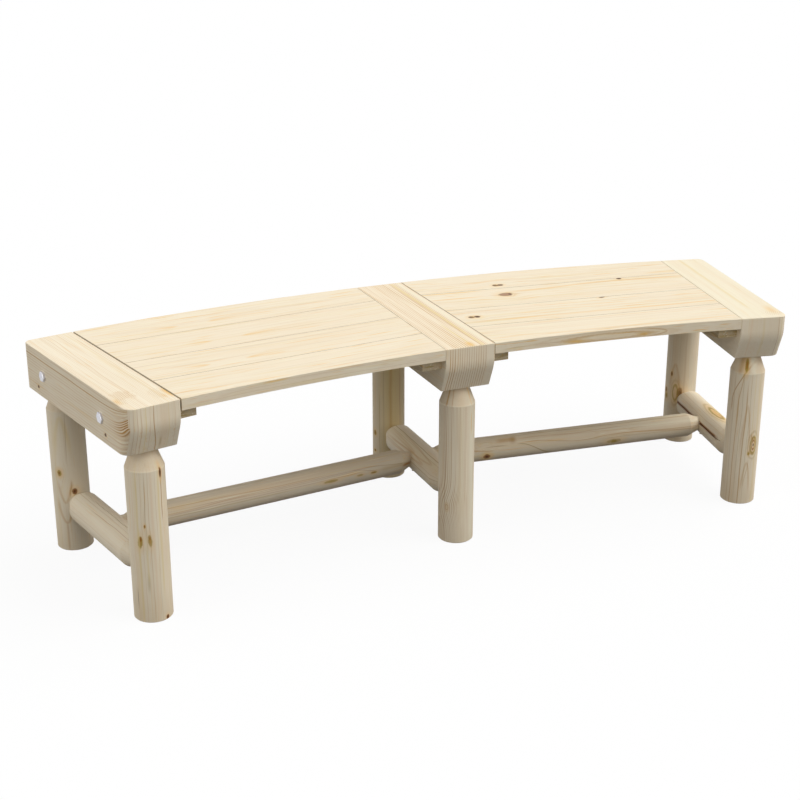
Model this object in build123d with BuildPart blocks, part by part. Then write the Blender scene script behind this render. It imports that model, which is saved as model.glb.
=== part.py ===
"""Curved two-section log bench.

Three squared beams lie along radii of a large circle whose centre is in front of the bench. Each beam
stands on a front and a back round leg, and the seat boards of two sections lie between the beams.
"""

from build123d import *
from math import cos, radians, sin, sqrt
import os

# Plan: every radius is measured from the centre of the seat's arc, and angles run clockwise from +Y.
front_radius = 2926
back_radius = 3392
beam_angle = 12.56
section_angle = beam_angle / 2

# Beams: the front end is dressed back below its upper part, and an end beam is cut narrower on the
# side that carries the boards
seat_height = 430
beam_width = 105
beam_height = 93
beam_bottom = seat_height - beam_height
beam_half = beam_width / 2
end_beam_inner_half = 49
front_face_height = 42
front_set_back = 22
front_bend_radius = 60
front_corner_radius = 20
back_corner_radius = 15
square_corner_radius = 1.5
beam_edge_chamfer = 1

# Legs, with a sharpened shoulder and a round tenon
leg_radius = 36
front_leg_radius = 2983.5
back_leg_radius = 3339
leg_shoulder_height = 39
leg_shoulder_radius = 21
leg_tenon_radius = 19
leg_tenon_length = 60
leg_foot_chamfer = 1.5

# Short stretchers, from front leg to back leg
stretcher_radius = 32
stretcher_heights = {"left": 103, "middle": 106, "right": 108}
stretcher_taper = 26
stretcher_shoulder_gap = 0.2
stretcher_shoulder_radius = 20
stretcher_tenon_radius = 19
stretcher_tenon_past_leg_axis = 8

# Long rails, from stretcher to stretcher
rail_radius = 26
rail_height = 108
rail_taper = 24
rail_shoulder_gap = 2.4
rail_shoulder_radius = 17
rail_tenon_radius = 16
rail_tenon_short_of_axis = 7

# Drying cracks along two stretchers: (angle round the stretcher from its right side, width)
cracks = {"left": (87.5, 1.3), "right": (166.5, 3)}
crack_depth = 9
crack_past_front_taper = 12
crack_past_back_taper = 4

# Seat boards
board_thickness = 22
board_joint_radii = (3025, 3143, 3269)
board_count = len(board_joint_radii) + 1
board_joint_gap = 0.5
board_end_gap = 0.7
left_board_end_gap = 2.4
board_edge_chamfer = 0.7

# Cleats under the board ends, with their own ends bevelled from below
cleat_width = 40
cleat_height = 37
cleat_set_back = 20
cleat_tip_height = 23
cleat_bevel_length = 76

# Bolts across the beams and cleats
bolt_radii = (3037, 3300)
bolt_height = beam_bottom + beam_height / 2
bolt_shank_radius = 6
bolt_flats = 19
bolt_head_height = 4.5
bolt_head_chamfer = 0.8
nut_height = 10
washer_radius = 12
washer_thickness = 2.5
bolt_past_nut = 3

# Screws up through the cleats into the boards
screw_radii = (2965, 3012, 3060, 3125, 3185, 3250, 3322, 3352)
screw_shank_radius = 2.25
screw_head_radius = 4.5
screw_head_height = 3
screw_grip = 24
screw_depth_in_board = 14
screw_pocket_radius = 5.5

# Wooden pins that lock the tenons
leg_pin_radius = 5
leg_pin_height = beam_bottom + 51
leg_pin_past_leg_axis = 12
small_pin_radius = 4
stretcher_pin_offset = 6
stretcher_pin_past_axis = 14
rail_pin_offset = 17
rail_pin_past_axis = 10

# Clearance round a piece in its bore, and beyond its blind end
bore_clearance = 0.15
blind_end_gap = 1

# The origin is on the ground, in the middle of the bench's length and depth.
board_underside = seat_height - board_thickness
corner_middle_radius = front_radius + front_corner_radius
front_reach = (
    corner_middle_radius * cos(radians(beam_angle))
    - (beam_half - front_corner_radius) * sin(radians(beam_angle))
    - front_corner_radius
)
arc_centre_y = -(front_reach + back_radius) / 2

# Positions by name: the side of a beam where its bolts end, and the beam and side of each cleat
angles = {"left": -beam_angle, "middle": 0, "right": beam_angle}
inner_sides = {"left": 1, "middle": 1, "right": -1}
inner_halves = {"left": end_beam_inner_half, "middle": beam_half, "right": end_beam_inner_half}
leg_radii = {"front": front_leg_radius, "back": back_leg_radius}
cleats = {
    "cleat_left": ("left", 1),
    "cleat_middle_left": ("middle", -1),
    "cleat_middle_right": ("middle", 1),
    "cleat_right": ("right", -1),
}
section_cleats = {
    "left": ("cleat_left", "cleat_middle_left"),
    "right": ("cleat_middle_right", "cleat_right"),
}
section_angles = {"left": -section_angle, "right": section_angle}
rail_sides = {"left": {"left": 1}, "middle": {"left": -1, "right": 1}, "right": {"right": -1}}

# A rail's middle lies on the line through the middles of its two stretchers.
stretcher_middle_radius = (front_leg_radius + back_leg_radius) / 2
rail_middle_radius = stretcher_middle_radius * cos(radians(section_angle))
rail_half_span = stretcher_middle_radius * sin(radians(section_angle))

os.makedirs("parts", exist_ok=True)


def outward(angle):
    """Unit vector along the radius at this angle."""
    return Vector(sin(radians(angle)), cos(radians(angle)), 0)


def rightward(angle):
    """Unit vector at right angles to the radius, towards the bench's right end."""
    return Vector(cos(radians(angle)), -sin(radians(angle)), 0)


def place(angle, radius, height=0):
    """Point at this angle and radius from the arc's centre."""
    return Vector(0, arc_centre_y, height) + outward(angle) * radius


def level_plane(angle, height):
    """Level plane with its origin above the arc's centre and Y along the radius."""
    return Plane(origin=place(angle, 0, height), x_dir=rightward(angle), z_dir=(0, 0, 1))


def side_plane(angle, offset=0):
    """Upright plane along the radius: X is the radius, Y the height, and Z points right."""
    origin = place(angle, 0) + rightward(angle) * offset
    return Plane(origin=origin, x_dir=outward(angle), z_dir=rightward(angle))


def across_plane(angle, radius, height):
    """Upright plane square to the radius: X points right, Y up, and Z towards the arc's centre."""
    return Plane(
        origin=place(angle, radius, height),
        x_dir=rightward(angle),
        z_dir=outward(angle) * -1,
    )


def save(part, name):
    part.label = name
    export_step(part, f"parts/{name}.step")


def make_beam(side):
    angle = angles[side]
    inner = inner_sides[side]
    width = beam_half + inner_halves[side]
    along = Axis((0, 0, 0), outward(angle))
    outer_side = {"left": -1, "middle": 0, "right": 1}[side]
    with BuildPart() as beam:
        with BuildSketch(side_plane(angle, -inner * beam_half)) as profile:
            with BuildLine():
                Polyline(
                    (front_radius, seat_height),
                    (back_radius, seat_height),
                    (back_radius, beam_bottom),
                    (front_radius + front_set_back, beam_bottom),
                    (front_radius, seat_height - front_face_height),
                    close=True,
                )
            make_face()
            fillet(profile.vertices().sort_by(Axis.X)[:2].sort_by(Axis.Y)[0], front_bend_radius)
        extrude(amount=inner * width)
        for face_side in (-1, 1):
            across = Axis((0, 0, 0), rightward(angle) * face_side)
            rounded = face_side == outer_side
            front_edges = beam.faces().sort_by(across)[-1].edges().sort_by(along)[:3]
            fillet(front_edges, front_corner_radius if rounded else square_corner_radius)
            back_edge = beam.faces().sort_by(across)[-1].edges().sort_by(along)[-1]
            fillet(back_edge, back_corner_radius if rounded else square_corner_radius)
        chamfer(beam.faces().sort_by(Axis.Z)[-1].edges(), beam_edge_chamfer)
        chamfer(beam.faces().sort_by(Axis.Z)[0].edges(), beam_edge_chamfer)
        # Mortises for the two legs
        with BuildSketch(level_plane(angle, beam_bottom)):
            with Locations(*[(0, radius) for radius in leg_radii.values()]):
                Circle(leg_tenon_radius + bore_clearance)
        extrude(amount=leg_tenon_length + blind_end_gap, mode=Mode.SUBTRACT)
        # Bolt holes from side to side
        with BuildSketch(side_plane(angle, -inner * beam_half)):
            with Locations(*[(radius, bolt_height) for radius in bolt_radii]):
                Circle(bolt_shank_radius + bore_clearance)
        extrude(amount=inner * width, mode=Mode.SUBTRACT)
        # Pin holes from the inner side, through the mortises
        with BuildSketch(side_plane(angle, inner * inner_halves[side])):
            with Locations(*[(radius, leg_pin_height) for radius in leg_radii.values()]):
                Circle(leg_pin_radius + bore_clearance)
        extrude(
            amount=-inner * (inner_halves[side] + leg_pin_past_leg_axis + blind_end_gap),
            mode=Mode.SUBTRACT,
        )
    return beam.part


def make_leg(side, end):
    angle = angles[side]
    radius = leg_radii[end]
    towards_stretcher = 1 if end == "front" else -1
    height = stretcher_heights[side]
    foot = place(angle, radius)
    with BuildPart() as leg:
        with BuildSketch(Plane(origin=foot, x_dir=rightward(angle), z_dir=outward(angle) * -1)):
            with BuildLine():
                Polyline(
                    (0, 0),
                    (leg_radius - leg_foot_chamfer, 0),
                    (leg_radius, leg_foot_chamfer),
                    (leg_radius, beam_bottom - leg_shoulder_height),
                    (leg_shoulder_radius, beam_bottom),
                    (leg_tenon_radius, beam_bottom),
                    (leg_tenon_radius, beam_bottom + leg_tenon_length),
                    (0, beam_bottom + leg_tenon_length),
                    close=True,
                )
            make_face()
        revolve(axis=Axis(foot, (0, 0, 1)))
        # Mortise for the stretcher
        mortise_end = radius - towards_stretcher * (stretcher_tenon_past_leg_axis + blind_end_gap)
        with BuildSketch(across_plane(angle, mortise_end, height)):
            Circle(stretcher_tenon_radius + bore_clearance)
        extrude(amount=-towards_stretcher * 2 * leg_radius, mode=Mode.SUBTRACT)
        # Pin hole from the right, through the mortise
        with BuildSketch(side_plane(angle, leg_radius)):
            with Locations((radius + towards_stretcher * stretcher_pin_offset, height)):
                Circle(small_pin_radius + bore_clearance)
        extrude(
            amount=-(leg_radius + stretcher_pin_past_axis + blind_end_gap),
            mode=Mode.SUBTRACT,
        )
        # Pin hole through the top tenon, from the beam's inner side
        with BuildSketch(side_plane(angle, inner_sides[side] * leg_radius)):
            with Locations((radius, leg_pin_height)):
                Circle(leg_pin_radius + bore_clearance)
        extrude(
            amount=-inner_sides[side] * (leg_radius + leg_pin_past_leg_axis + blind_end_gap),
            mode=Mode.SUBTRACT,
        )
    return leg.part


def make_stretcher(side):
    angle = angles[side]
    height = stretcher_heights[side]
    to_shoulder = leg_radius + stretcher_shoulder_gap
    front_shoulder = front_leg_radius + to_shoulder
    back_shoulder = back_leg_radius - to_shoulder
    front_end = front_leg_radius - stretcher_tenon_past_leg_axis
    back_end = back_leg_radius + stretcher_tenon_past_leg_axis
    with BuildPart() as stretcher:
        with BuildSketch(side_plane(angle)):
            with BuildLine():
                Polyline(
                    (front_end, height),
                    (front_end, height + stretcher_tenon_radius),
                    (front_shoulder, height + stretcher_tenon_radius),
                    (front_shoulder, height + stretcher_shoulder_radius),
                    (front_shoulder + stretcher_taper, height + stretcher_radius),
                    (back_shoulder - stretcher_taper, height + stretcher_radius),
                    (back_shoulder, height + stretcher_shoulder_radius),
                    (back_shoulder, height + stretcher_tenon_radius),
                    (back_end, height + stretcher_tenon_radius),
                    (back_end, height),
                    close=True,
                )
            make_face()
        revolve(axis=Axis(place(angle, 0, height), outward(angle)))
        # Mortise and pin hole for each rail
        for section, rail_side in rail_sides[side].items():
            rail_angle = section_angles[section]
            into_rail = rightward(rail_angle) * rail_side
            rail_start = place(angle, stretcher_middle_radius, rail_height)
            mortise_end = rail_start + into_rail * (rail_tenon_short_of_axis - blind_end_gap)
            with BuildSketch(Plane(origin=mortise_end, x_dir=outward(rail_angle), z_dir=into_rail)):
                Circle(rail_tenon_radius + bore_clearance)
            extrude(amount=stretcher_radius, mode=Mode.SUBTRACT)
            pin_start = rail_start + into_rail * rail_pin_offset
            with BuildSketch(Plane(origin=pin_start, x_dir=outward(angle), z_dir=(0, 0, -1))):
                Circle(small_pin_radius + bore_clearance)
            extrude(amount=2 * stretcher_radius, mode=Mode.SUBTRACT)
        # Pin holes through both tenons, from the right
        with BuildSketch(side_plane(angle, stretcher_radius)):
            with Locations(
                (front_leg_radius + stretcher_pin_offset, height),
                (back_leg_radius - stretcher_pin_offset, height),
            ):
                Circle(small_pin_radius + bore_clearance)
        extrude(
            amount=-(stretcher_radius + stretcher_pin_past_axis + blind_end_gap),
            mode=Mode.SUBTRACT,
        )
        if side in cracks:
            crack_angle, crack_width = cracks[side]
            crack_start = front_shoulder + stretcher_taper - crack_past_front_taper
            crack_end = back_shoulder - stretcher_taper + crack_past_back_taper
            half_width = crack_width / 2
            with BuildSketch(across_plane(angle, crack_start, height)):
                with PolarLocations(stretcher_radius, 1, start_angle=crack_angle):
                    Polygon(
                        (-crack_depth, 0),
                        (0, -half_width),
                        (1, -half_width),
                        (1, half_width),
                        (0, half_width),
                        align=None,
                    )
            extrude(amount=crack_start - crack_end, mode=Mode.SUBTRACT)
    return stretcher.part


def make_rail(section):
    angle = section_angles[section]
    along = rightward(angle)
    middle = place(angle, rail_middle_radius)
    shoulder = rail_half_span - stretcher_radius - rail_shoulder_gap
    tenon_end = rail_half_span - rail_tenon_short_of_axis
    with BuildPart() as rail:
        with BuildSketch(Plane(origin=middle, x_dir=along, z_dir=outward(angle) * -1)):
            with BuildLine():
                Polyline(
                    (-tenon_end, rail_height),
                    (-tenon_end, rail_height + rail_tenon_radius),
                    (-shoulder, rail_height + rail_tenon_radius),
                    (-shoulder, rail_height + rail_shoulder_radius),
                    (-shoulder + rail_taper, rail_height + rail_radius),
                    (shoulder - rail_taper, rail_height + rail_radius),
                    (shoulder, rail_height + rail_shoulder_radius),
                    (shoulder, rail_height + rail_tenon_radius),
                    (tenon_end, rail_height + rail_tenon_radius),
                    (tenon_end, rail_height),
                    close=True,
                )
            make_face()
        revolve(axis=Axis(place(angle, rail_middle_radius, rail_height), along))
        # Pin holes up through both tenons, past the rail's axis
        hole_top = rail_height + rail_pin_past_axis + blind_end_gap
        with BuildSketch(Plane(origin=middle + Vector(0, 0, hole_top), x_dir=along, z_dir=(0, 0, -1))):
            with Locations(
                (-rail_half_span + rail_pin_offset, 0),
                (rail_half_span - rail_pin_offset, 0),
            ):
                Circle(small_pin_radius + bore_clearance)
        extrude(amount=2 * rail_radius, mode=Mode.SUBTRACT)
    return rail.part


def board_corner(side, radius, offset):
    """Corner of the seat in its section's level plane: on an edge arc, this far from a beam's axis."""
    a = radians(section_angle)
    along = sqrt(radius**2 - offset**2)
    return side * (along * sin(a) - offset * cos(a)), along * cos(a) + offset * sin(a)


def screw_spots(cleat):
    """Points of one cleat's screws, in the level plane of its beam."""
    beam, side = cleats[cleat]
    return [(side * (inner_halves[beam] + cleat_width / 2), radius) for radius in screw_radii]


def make_board(section, number):
    offsets = {
        "left": (end_beam_inner_half + left_board_end_gap, beam_half + board_end_gap),
        "right": (beam_half + board_end_gap, end_beam_inner_half + board_end_gap),
    }
    left_offset, right_offset = offsets[section]
    # The strips of the first and last board reach well past the seat's edge arcs, which cut them
    front_edge = front_radius - 2 * board_thickness
    back_edge = back_radius + 2 * board_thickness
    if number > 1:
        front_edge = board_joint_radii[number - 2] + board_joint_gap / 2
    if number < board_count:
        back_edge = board_joint_radii[number - 1] - board_joint_gap / 2
    with BuildPart() as board:
        with BuildSketch(level_plane(section_angles[section], board_underside)):
            with BuildLine():
                front_left = board_corner(-1, front_radius, left_offset)
                front_right = board_corner(1, front_radius, right_offset)
                back_left = board_corner(-1, back_radius, left_offset)
                back_right = board_corner(1, back_radius, right_offset)
                ThreePointArc(front_left, (0, front_radius), front_right)
                Line(front_right, back_right)
                ThreePointArc(back_right, (0, back_radius), back_left)
                Line(back_left, front_left)
            make_face()
            with Locations((0, (front_edge + back_edge) / 2)):
                Rectangle(2 * rail_half_span, back_edge - front_edge, mode=Mode.INTERSECT)
        extrude(amount=board_thickness)
        chamfer(board.faces().sort_by(Axis.Z)[-1].edges(), board_edge_chamfer)
        for cleat in section_cleats[section]:
            beam = cleats[cleat][0]
            with BuildSketch(level_plane(angles[beam], board_underside)):
                with Locations(*screw_spots(cleat)):
                    Circle(screw_shank_radius + bore_clearance)
            extrude(amount=screw_depth_in_board + blind_end_gap, mode=Mode.SUBTRACT)
    return board.part


def make_cleat(name):
    beam, side = cleats[name]
    angle = angles[beam]
    front = front_radius + cleat_set_back
    back = back_radius - cleat_set_back
    tip_bottom = board_underside - cleat_tip_height
    bottom = board_underside - cleat_height
    head_seat = board_underside - screw_grip
    with BuildPart() as cleat:
        with BuildSketch(side_plane(angle, side * inner_halves[beam])):
            with BuildLine():
                Polyline(
                    (front, board_underside),
                    (back, board_underside),
                    (back, tip_bottom),
                    (back - cleat_bevel_length, bottom),
                    (front + cleat_bevel_length, bottom),
                    (front, tip_bottom),
                    close=True,
                )
            make_face()
        extrude(amount=side * cleat_width)
        with BuildSketch(level_plane(angle, head_seat)):
            with Locations(*screw_spots(name)):
                Circle(screw_shank_radius + bore_clearance)
        extrude(amount=screw_grip, mode=Mode.SUBTRACT)
        with BuildSketch(level_plane(angle, bottom)):
            with Locations(*screw_spots(name)):
                Circle(screw_pocket_radius)
        extrude(amount=head_seat - bottom, mode=Mode.SUBTRACT)
        with BuildSketch(side_plane(angle, side * inner_halves[beam])):
            with Locations(*[(radius, bolt_height) for radius in bolt_radii]):
                Circle(bolt_shank_radius + bore_clearance)
        extrude(amount=side * cleat_width, mode=Mode.SUBTRACT)
    return cleat.part


def make_bolts(side):
    """Two bolts, with their heads on the outer side of the beam, or on the left of the middle one."""
    angle = angles[side]
    inner = inner_sides[side]
    head_seat = beam_half + cleat_width + washer_thickness if side == "middle" else beam_half
    tip = inner_halves[side] + cleat_width + washer_thickness + nut_height + bolt_past_nut
    across = Axis((0, 0, 0), rightward(angle) * inner)
    with BuildPart() as bolts:
        with BuildSketch(side_plane(angle, -inner * head_seat)):
            with Locations(*[(radius, bolt_height) for radius in bolt_radii]):
                RegularPolygon(bolt_flats / 2, 6, major_radius=False)
        extrude(amount=-inner * bolt_head_height)
        chamfer(bolts.faces().group_by(across)[0].edges(), bolt_head_chamfer)
        with BuildSketch(side_plane(angle, -inner * head_seat)):
            with Locations(*[(radius, bolt_height) for radius in bolt_radii]):
                Circle(bolt_shank_radius)
        extrude(amount=inner * (head_seat + tip))
    return bolts.part


def bolt_rings(seats, outer_shape, thickness):
    """Washers or nuts, one on every bolt, that lie against each (beam, side, offset) in seats."""
    with BuildPart() as rings:
        for beam, side, offset in seats:
            with BuildSketch(side_plane(angles[beam], side * offset)):
                with Locations(*[(radius, bolt_height) for radius in bolt_radii]):
                    outer_shape()
                    Circle(bolt_shank_radius + bore_clearance, mode=Mode.SUBTRACT)
            extrude(amount=side * thickness)
    return rings.part


def make_board_screws():
    with BuildPart() as screws:
        for cleat, (beam, _) in cleats.items():
            head_bottom = board_underside - screw_grip - screw_head_height
            with BuildSketch(level_plane(angles[beam], head_bottom)):
                with Locations(*screw_spots(cleat)):
                    Circle(screw_head_radius)
            extrude(amount=screw_head_height)
            with BuildSketch(level_plane(angles[beam], head_bottom)):
                with Locations(*screw_spots(cleat)):
                    Circle(screw_shank_radius)
            extrude(amount=screw_head_height + screw_grip + screw_depth_in_board)
    return screws.part


def make_leg_pins():
    with BuildPart() as pins:
        for side, angle in angles.items():
            inner = inner_sides[side]
            with BuildSketch(side_plane(angle, inner * inner_halves[side])):
                with Locations(*[(radius, leg_pin_height) for radius in leg_radii.values()]):
                    Circle(leg_pin_radius)
            extrude(amount=-inner * (inner_halves[side] + leg_pin_past_leg_axis))
    return pins.part


def make_stretcher_pins():
    with BuildPart() as pins:
        for side, angle in angles.items():
            with BuildSketch(side_plane(angle, leg_radius)):
                with Locations(
                    (front_leg_radius + stretcher_pin_offset, stretcher_heights[side]),
                    (back_leg_radius - stretcher_pin_offset, stretcher_heights[side]),
                ):
                    Circle(small_pin_radius)
            extrude(amount=-(leg_radius + stretcher_pin_past_axis))
    return pins.part


def make_rail_pins():
    with BuildPart() as pins:
        for side, sections in rail_sides.items():
            for section, rail_side in sections.items():
                foot = place(angles[side], stretcher_middle_radius, rail_height)
                foot += rightward(section_angles[section]) * rail_side * rail_pin_offset
                surface = stretcher_heights[side] - sqrt(stretcher_radius**2 - rail_pin_offset**2)
                length = rail_height + rail_pin_past_axis - surface
                top = foot + Vector(0, 0, rail_pin_past_axis)
                with BuildSketch(Plane(origin=top, z_dir=(0, 0, -1))):
                    Circle(small_pin_radius)
                extrude(amount=length)
    return pins.part


for side in angles:
    save(make_beam(side), f"beam_{side}")
    for end in leg_radii:
        save(make_leg(side, end), f"leg_{side}_{end}")
    save(make_stretcher(side), f"stretcher_{side}")

for section in section_angles:
    save(make_rail(section), f"rail_{section}")
    for number in range(1, board_count + 1):
        save(make_board(section, number), f"seat_{section}_board_{number}")

for name in cleats:
    save(make_cleat(name), name)

save(make_bolts("left"), "end_bolts_left")
save(make_bolts("middle"), "middle_bolts")
save(make_bolts("right"), "end_bolts_right")

washer_seats = [(beam, side, inner_halves[beam] + cleat_width) for beam, side in cleats.values()]
nut_seats = [
    (beam, inner_sides[beam], inner_halves[beam] + cleat_width + washer_thickness) for beam in angles
]
save(bolt_rings(washer_seats, lambda: Circle(washer_radius), washer_thickness), "bolt_washers")
save(
    bolt_rings(nut_seats, lambda: RegularPolygon(bolt_flats / 2, 6, major_radius=False), nut_height),
    "bolt_nuts",
)

save(make_board_screws(), "board_screws")
save(make_leg_pins(), "leg_tenon_pins")
save(make_stretcher_pins(), "stretcher_tenon_pins")
save(make_rail_pins(), "rail_tenon_pins")
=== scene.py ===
import bpy
from math import atan2, cos, pi, radians, sin
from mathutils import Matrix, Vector


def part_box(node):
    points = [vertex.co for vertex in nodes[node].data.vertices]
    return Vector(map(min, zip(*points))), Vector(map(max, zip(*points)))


# Looks of the curved log bench: pale, sealed softwood with its grain, knots and tool-cut log ends, and
# bright zinc-plated bolts. Every grain line and knot is placed in millimetres in its piece's own axes.
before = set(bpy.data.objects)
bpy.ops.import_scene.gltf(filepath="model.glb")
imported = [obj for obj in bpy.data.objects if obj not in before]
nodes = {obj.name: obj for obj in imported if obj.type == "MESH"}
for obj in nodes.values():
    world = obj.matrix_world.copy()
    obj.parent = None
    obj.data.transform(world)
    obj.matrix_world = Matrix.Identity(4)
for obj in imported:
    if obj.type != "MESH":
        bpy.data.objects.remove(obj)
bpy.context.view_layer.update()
mm = 1000

# The camera, at the photograph's viewing angle
camera_place = (-1.1253, -2.4777, 1.2847)
camera_pitch = 19.127
camera_turn = 23.158
camera_lens = 62.585
camera_shift = -0.0505
camera_sensor = 36
camera_reach = 200

# Light levels: what the sky and each lamp give a white surface that faces them. A lamp also has its height
# above the horizon and its direction, in degrees: 0 is from the right and -90 from the front.
sky_level = 0.36
lamps = {
    "right_lamp": (0.54, 50, -10),
    "left_lamp": (0.32, 15, 180),
    "front_lamp": (0.24, 35, -60),
}
lamp_softness = 60
floor_shade = 0.1
floor_shadow_share = 0.07
floor_half_size = 60


def rgb(red, green, blue):
    """A colour as screens give it, 0 to 255, in the linear numbers that shaders take."""
    return tuple(((c / 255 + 0.055) / 1.055) ** 2.4 for c in (red, green, blue))


cream = rgb(247, 233, 207)
ivory = rgb(250, 240, 214)
blush = rgb(240, 214, 178)
honey = rgb(240, 199, 126)
amber = rgb(205, 160, 90)
straw = rgb(236, 213, 150)
sand = rgb(212, 186, 148)
olive = rgb(176, 144, 60)
tawny = rgb(192, 142, 60)
russet = rgb(172, 112, 44)
clay = rgb(178, 140, 112)
# The wood's cream darkened as painted shade, for the cleats under the seat boards
dun_with_painted_shade = rgb(218, 200, 166)
dull = rgb(230, 216, 192)
rust = rgb(150, 98, 52)
umber = rgb(84, 48, 24)
crack_brown = rgb(146, 82, 30)
pale_line = rgb(196, 150, 84)
zinc_light = rgb(222, 222, 228)
zinc_dark = rgb(186, 187, 194)


# ---------------------------------------------------------------- node expressions

tree = None


class Field:
    """A number or vector that varies over a surface: one output of a node."""

    def __init__(self, socket):
        self.socket = socket

    def __add__(self, other):
        return calc("ADD", self, other)

    def __sub__(self, other):
        return calc("SUBTRACT", self, other)

    def __rsub__(self, other):
        return calc("SUBTRACT", other, self)

    def __mul__(self, other):
        return calc("MULTIPLY", self, other)

    def __truediv__(self, other):
        return calc("DIVIDE", self, other)

    def __abs__(self):
        return calc("ABSOLUTE", self)

    __radd__ = __add__
    __rmul__ = __mul__


def feed(socket, value):
    if isinstance(value, Field):
        tree.links.new(value.socket, socket)
    else:
        socket.default_value = value


def calc(operation, *values):
    node = tree.nodes.new("ShaderNodeMath")
    node.operation = operation
    for socket, value in zip(node.inputs, values):
        feed(socket, value)
    return Field(node.outputs[0])


def smooth(value, start, end):
    """0 up to start and 1 from end on, with a soft step between; start may be the larger one."""
    node = tree.nodes.new("ShaderNodeMapRange")
    node.interpolation_type = "SMOOTHSTEP"
    feed(node.inputs["Value"], value)
    feed(node.inputs["From Min"], start)
    feed(node.inputs["From Max"], end)
    return Field(node.outputs[0])


noise_gain = 3.5
noise_roughness = 0.55
seed_step = 3.7


def noise(place, sizes, detail, seed):
    """Smooth random field of about -1 to 1, with spots of these sizes along each of the three places."""
    point = tree.nodes.new("ShaderNodeCombineXYZ")
    for socket, value, size in zip(point.inputs, place, sizes):
        feed(socket, value / size + seed * seed_step)
    node = tree.nodes.new("ShaderNodeTexNoise")
    tree.links.new(point.outputs[0], node.inputs["Vector"])
    node.inputs["Scale"].default_value = 1
    node.inputs["Detail"].default_value = detail
    node.inputs["Roughness"].default_value = noise_roughness
    return (Field(node.outputs["Fac"]) - 0.5) * noise_gain


def blend(share, first, second):
    return first + (second - first) * share


def paint(colour, pigment, amount):
    """The colour, covered by the pigment where the amount is 1."""
    node = tree.nodes.new("ShaderNodeMix")
    node.data_type = "RGBA"
    feed(node.inputs[0], amount)
    feed(node.inputs[6], colour if isinstance(colour, Field) else (*colour, 1))
    feed(node.inputs[7], (*pigment, 1))
    return Field(node.outputs[2])


def split(socket):
    parts = tree.nodes.new("ShaderNodeSeparateXYZ")
    tree.links.new(socket, parts.inputs[0])
    return [Field(part) for part in parts.outputs]


def turned(socket, turn, scale, kind):
    mapping = tree.nodes.new("ShaderNodeMapping")
    mapping.vector_type = kind
    mapping.inputs["Rotation"].default_value = (0, 0, turn)
    mapping.inputs["Scale"].default_value = (scale, scale, scale)
    tree.links.new(socket, mapping.inputs["Vector"])
    return split(mapping.outputs[0])


def place_in(turn, centre):
    """Millimetres to the right of, outward from and above a centre, for a piece with this turn."""
    coordinates = tree.nodes.new("ShaderNodeTexCoord")
    shifted = tree.nodes.new("ShaderNodeVectorMath")
    shifted.operation = "SUBTRACT"
    tree.links.new(coordinates.outputs["Object"], shifted.inputs[0])
    shifted.inputs[1].default_value = centre
    return turned(shifted.outputs[0], turn, mm, "POINT")


def facing_in(turn):
    """How far the surface faces right, outward and up, for a piece with this turn."""
    geometry = tree.nodes.new("ShaderNodeNewGeometry")
    return turned(geometry.outputs["True Normal"], turn, 1, "VECTOR")


# ---------------------------------------------------------------- faces and figures

class Flat:
    """A flat face: figures are placed along its grain and across it, in millimetres."""

    def __init__(self, along, across, share=1):
        self.along = along
        self.across = across
        self.share = share

    def side(self, across):
        return self.across - across

    def near(self, across):
        return self.share


class Round:
    """The face of a log: figures are placed along it and by their angle round it, in degrees."""

    # Figures fade out over this many millimetres where the surface turns to the far side
    limb = 8

    def __init__(self, first, second, along):
        self.first = first
        self.second = second
        self.along = along

    def side(self, angle):
        return self.second * cos(radians(angle)) - self.first * sin(radians(angle))

    def near(self, angle):
        return smooth(self.first * cos(radians(angle)) + self.second * sin(radians(angle)), 0, self.limb)


class Streak:
    """A line or band of coloured grain, that runs from start to end and may drift to one side in steps."""

    def __init__(self, start, end, across, width, pigment, strength, *drifts, fade=30):
        self.start, self.end, self.across, self.width = start, end, across, width
        self.pigment, self.strength, self.drifts, self.fade = pigment, strength, drifts, fade

    def draw(self, wood, face):
        off = face.side(self.across) + wood.wobble
        for start, end, rise in self.drifts:
            off = off - smooth(face.along, start, end) * rise
        amount = smooth(abs(off), self.width / 2, 0)
        amount = amount * smooth(face.along, self.start - self.fade, self.start + self.fade)
        amount = amount * smooth(face.along, self.end + self.fade, self.end - self.fade)
        wood.stain(amount * face.near(self.across) * self.strength, self.pigment)


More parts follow.
